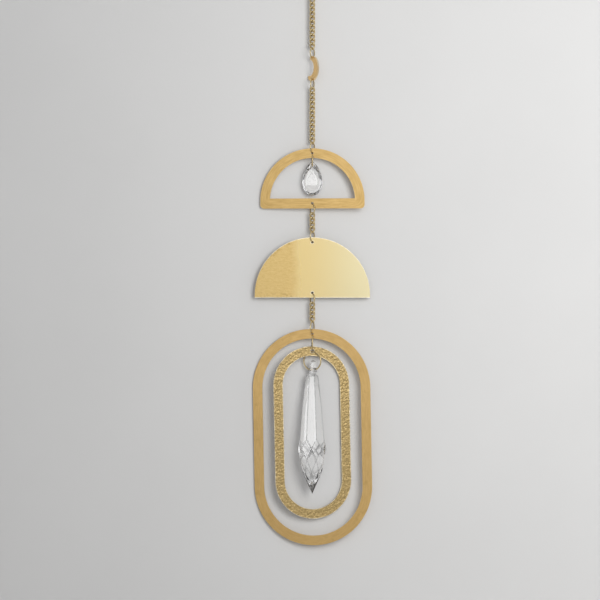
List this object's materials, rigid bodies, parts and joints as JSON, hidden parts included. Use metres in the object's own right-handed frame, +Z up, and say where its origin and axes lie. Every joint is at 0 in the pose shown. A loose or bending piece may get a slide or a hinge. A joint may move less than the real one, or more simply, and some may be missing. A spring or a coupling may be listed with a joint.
{
  "type": "suncatcher",
  "caption": "Hanging suncatcher: a fine chain carries a flat crescent, an open and a solid half-moon and two nested brass ovals, with a clear cut teardrop and an icicle prism.",
  "frame": {"origin": "where the hook bears, inside the top of the hanging ring", "axes": "+Z up along the chain, +X to the right seen from the front, +Y back towards the wall"},
  "size_m": [0.0764, 0.0194, 0.3773],
  "materials": {
    "chain_brass": "antique gold, bright on the wear points",
    "satin_brass": "brushed satin gold",
    "polished_brass": "pale gold, lightly brushed, semi-bright",
    "hammered_brass": "hammered gold, semi-bright",
    "crystal": "clear, polished facets"
  },
  "bodies": {
    "root": {"hanging_ring": "chain_brass", "top_ring": "chain_brass", "chain_top_01": "chain_brass", "chain_top_02": "chain_brass", "chain_top_03": "chain_brass", "chain_top_04": "chain_brass", "chain_top_05": "chain_brass", "chain_top_06": "chain_brass", "chain_top_07": "chain_brass", "chain_top_08": "chain_brass", "chain_top_09": "chain_brass", "chain_top_10": "chain_brass", "chain_top_11": "chain_brass", "chain_top_12": "chain_brass", "chain_top_13": "chain_brass", "chain_top_14": "chain_brass", "moon_upper_ring": "chain_brass", "crescent_moon": "satin_brass", "moon_lower_ring": "chain_brass", "chain_upper_01": "chain_brass", "chain_upper_02": "chain_brass", "chain_upper_03": "chain_brass", "chain_upper_04": "chain_brass", "chain_upper_05": "chain_brass", "chain_upper_06": "chain_brass", "chain_upper_07": "chain_brass", "chain_upper_08": "chain_brass", "chain_upper_09": "chain_brass", "chain_upper_10": "chain_brass", "chain_upper_11": "chain_brass", "chain_upper_12": "chain_brass", "frame_upper_ring": "chain_brass", "half_moon_frame": "satin_brass", "drop_ring": "chain_brass", "crystal_drop": "crystal", "frame_lower_ring": "chain_brass", "chain_middle_01": "chain_brass", "chain_middle_02": "chain_brass", "chain_middle_03": "chain_brass", "chain_middle_04": "chain_brass", "half_moon_upper_ring": "chain_brass", "half_moon_plate": "polished_brass", "half_moon_lower_ring": "chain_brass", "chain_lower_01": "chain_brass", "chain_lower_02": "chain_brass", "chain_lower_03": "chain_brass", "chain_lower_04": "chain_brass", "oval_upper_ring": "chain_brass", "outer_oval": "satin_brass", "oval_link_ring": "chain_brass", "inner_oval": "hammered_brass", "prism_ring": "chain_brass", "crystal_prism": "crystal"}
  },
  "joints": []
}
